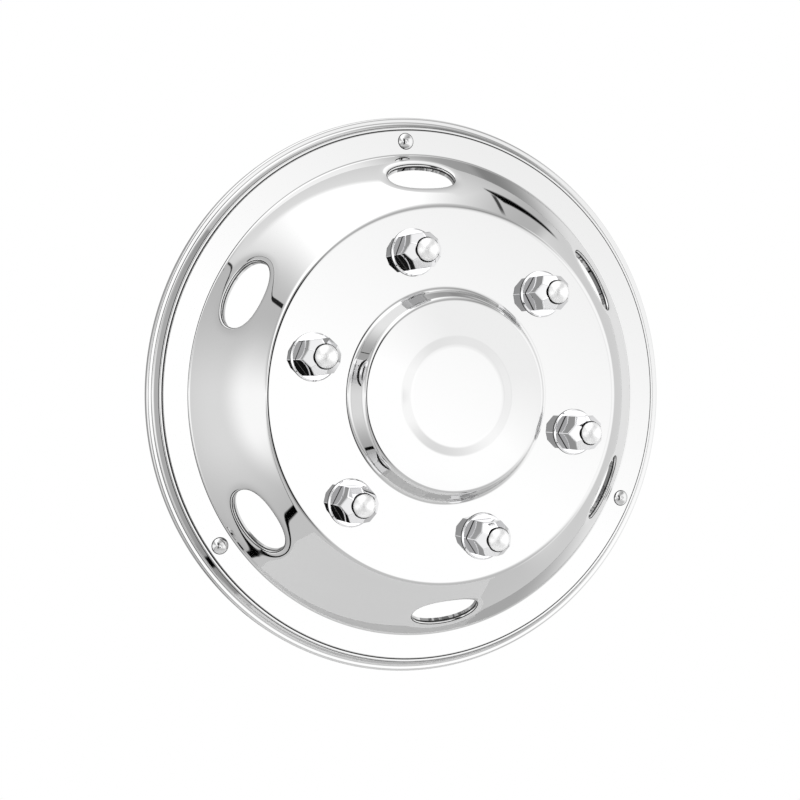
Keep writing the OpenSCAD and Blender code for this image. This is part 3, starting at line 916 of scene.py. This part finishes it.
def tent_tones(x, y, z):
    """Brightness of the light tent around the part, as it shows in one reflection.

    The tent is a square tube with its axis at TENT_AZIMUTH. spread is the angle from that axis and
    roll the turn about it, from 0 at the right over 90 at the top. azimuth and height are the same
    direction seen from the part's front. The ceiling, the left and right sides and the base have a
    tone each, which fades towards the edges, and there are dark seams between some of them. x, y
    and z are the direction from the part.
    """
    turn = math.radians(TENT_AZIMUTH)
    across = x * math.cos(turn) + y * math.sin(turn)
    ahead = x * math.sin(turn) - y * math.cos(turn)
    degrees = 180 / math.pi
    spread = ahead.math("ARCCOSINE") * degrees
    roll = z.math("ARCTAN2", across) * degrees
    roll = roll + roll.math("LESS_THAN", 0.0) * 360.0
    azimuth = x.math("ARCTAN2", -y) * degrees
    height = z.math("ARCSINE") * degrees

    # The four sides
    ceiling = (roll.rise(104, 133) * (spread.rise(62, 80) * -0.4 + 1.0) * -0.31
               + roll.fall(50, 84) * -0.36 + 1.04)
    past_ceiling = ahead + across * 0.63 + z * 0.16
    behind = (-past_ceiling).high(0.0).low(0.35) * -0.45 + 0.86
    ceiling = ceiling.low(behind).mixed(ceiling, past_ceiling.rise(-0.02, 0.02))
    left_middle = abs(roll - 190.0).fall(8, 52)
    left = (left_middle * (spread.rise(50, 57) * -0.5 + spread.rise(58, 84) * -0.5 + 1.0)
            * 0.26 + spread.rise(72, 98) * -0.16 + 0.71)
    off_right = abs((roll + 177.0).math("MODULO", 360.0) - 180.0)
    corner = spread.between(60, 76, 90, 118) * z.rise(0, 0.1) * -0.16 - 0.24
    off_middle = abs(azimuth - 24.0).math("POWER", 2.0) + height.math("POWER", 2.0)
    fading = ((azimuth - 20.0) * 0.0035 + height * 0.0056).high(0.0).low(0.07) * spread.fall(62, 80)
    right = (off_right.rise(18, 40) * spread.fall(92, 120) * corner + spread.rise(100, 140) * -0.2
             + off_middle.rise(150, 240) * -0.03 - fading + 1.0)
    base = spread.rise(98, 108) * roll.fall(278, 292) * -0.11 + 0.745

    # Where each side begins and ends
    tone = right.mixed(ceiling, roll.between(44, 48, 200, 210))
    tone = tone.mixed(left, roll.rise(133.6, 134.6))
    tone = tone.mixed(base, roll.rise(236, 237.5))
    tone = tone.mixed(right, roll.rise(306, 318))
    # Dark seams at the upper left, the lower left and the far right
    seam = (abs(roll - 134.2) - spread.between(49, 54, 56, 61) * 0.6).fall(0.1, 0.6)
    seam = seam * spread.fall(78, 82)
    tone = tone * (seam * -0.8 + 1.0)
    gap = abs(roll - 237.0 + spread.rise(79, 92) * 10.0).fall(1.0, 2.0)
    tone = tone * (gap * -0.95 + 1.0)
    wedge_side = azimuth + height * 0.15 - 122.6 - (height - 44.0).high(0.0) * 0.8
    wedge = wedge_side.rise(-0.6, 0.3) * azimuth.fall(118.2, 119.4) * height.between(27, 31, 48, 49)
    spur = azimuth.between(108, 112, 116, 118) * height.between(45.6, 46.2, 46.9, 47.5) * 0.7
    tone = tone * (wedge.high(spur) * -0.95 + 1.0)
    # Grey and dark panels round the open front
    front = azimuth.between(-24, -20, -3, 2) * abs(height).fall(28, 36)
    dark = azimuth.between(-12.5, -10.0, 1.5, 4.5) * abs(height).fall(20.5, 24)
    return tone.mixed(FRONT_TONE, front * abs(height).rise(6, 12)).mixed(DARK_TONE, dark)


def seen_by(tree, *kinds):
    """1 for light rays of these kinds and 0 for others."""
    path = tree.nodes.new("ShaderNodeLightPath")
    seen = Field(tree, path.outputs[kinds[0]])
    for kind in kinds[1:]:
        seen = seen.high(Field(tree, path.outputs[kind]))
    return seen


def studio():
    """World: a pale light tent in every reflection, and plain white behind the part."""
    world = bpy.data.worlds.new("studio")
    bpy.context.scene.world = world
    world.use_nodes = True
    tree = world.node_tree
    background = tree.nodes["Background"]
    place = tree.nodes.new("ShaderNodeTexCoord")
    split = tree.nodes.new("ShaderNodeSeparateXYZ")
    tree.links.new(place.outputs["Generated"], split.inputs["Vector"])
    tone = tent_tones(*(Field(tree, split.outputs[axis]) for axis in "XYZ"))
    light = tone.high(0.0).math("POWER", TONE_POWER) * (1 / STEEL_COLOUR[0])
    light = light.mixed(1.0, seen_by(tree, "Is Camera Ray", "Is Transmission Ray"))
    tree.links.new(light.socket, background.inputs["Color"])


def floor():
    """Plain pale plate below the part, nearly white to the camera and in reflections."""
    bpy.ops.mesh.primitive_circle_add(vertices=96, radius=FLOOR_R, fill_type="NGON",
                                      location=(0, 0, FLOOR_Z))
    plate = bpy.context.object
    plate.name = "floor"
    material, tree, shader = new_material("pale_floor")
    shader.inputs["Roughness"].default_value = 1.0
    shader.inputs["Specular IOR Level"].default_value = 0.0
    tint = tree.nodes.new("ShaderNodeMix")
    tint.data_type = "RGBA"
    tint.inputs["A"].default_value = FLOOR_COLOUR
    tint.inputs["B"].default_value = FLOOR_SEEN
    seen = seen_by(tree, "Is Camera Ray", "Is Glossy Ray", "Is Transmission Ray")
    tree.links.new(seen.socket, tint.inputs["Factor"])
    tree.links.new(tint.outputs["Result"], shader.inputs["Base Color"])
    plate.data.materials.append(material)


def dress(piece, node, slot, *materials):
    """Puts a finished piece in the place of its CAD node."""
    for material in materials:
        piece.data.materials.append(material)
    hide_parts(node)
    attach(piece, "root")


def carried_over(prefix):
    """CAD nodes whose names start with a prefix."""
    return [piece for piece in bpy.context.scene.objects
            if piece.type == "MESH" and piece.name.startswith(prefix)]


photo_camera()
studio()
floor()
steel = bright_metal("polished_stainless", STEEL_COLOUR, 0.015, 0.04)
chrome = bright_metal("chromed_nut_cover", CHROME_COLOUR, 0.02, 0.05)
# Lighter copy of the chrome for the domes, a painted highlight
dome_chrome = bright_metal("dome_chrome", DOME_HIGHLIGHT_COLOUR, 0.40, 0.46)
# Near-black material for the painted shade and painted dark reflection lines
painted_dark = bright_metal("crease_shade", PAINTED_DARK_COLOUR, 0.4, 0.6)
rivet_metal = bright_metal("rivet_steel", STEEL_COLOUR, 0.03, 0.06)
spring = spring_steel()
dress(pressed_skin(), "cover_shell", "polished_stainless", steel, painted_dark)
for number in range(1, NUT_COUNT + 1):
    dress(nut_cover(number), f"nut_cover_{number}", "chromed_nut_cover",
          chrome, painted_dark, dome_chrome)
for number in range(1, RIVET_COUNT + 1):
    dress(clip_rivet(number), f"clip_rivet_{number}", "rivet_steel", rivet_metal, painted_dark)
for piece in carried_over("nut_retainer") + carried_over("rim_clip"):
    piece.data.materials.clear()
    piece.data.materials.append(spring)

bpy.context.scene.view_settings.view_transform = "Standard"
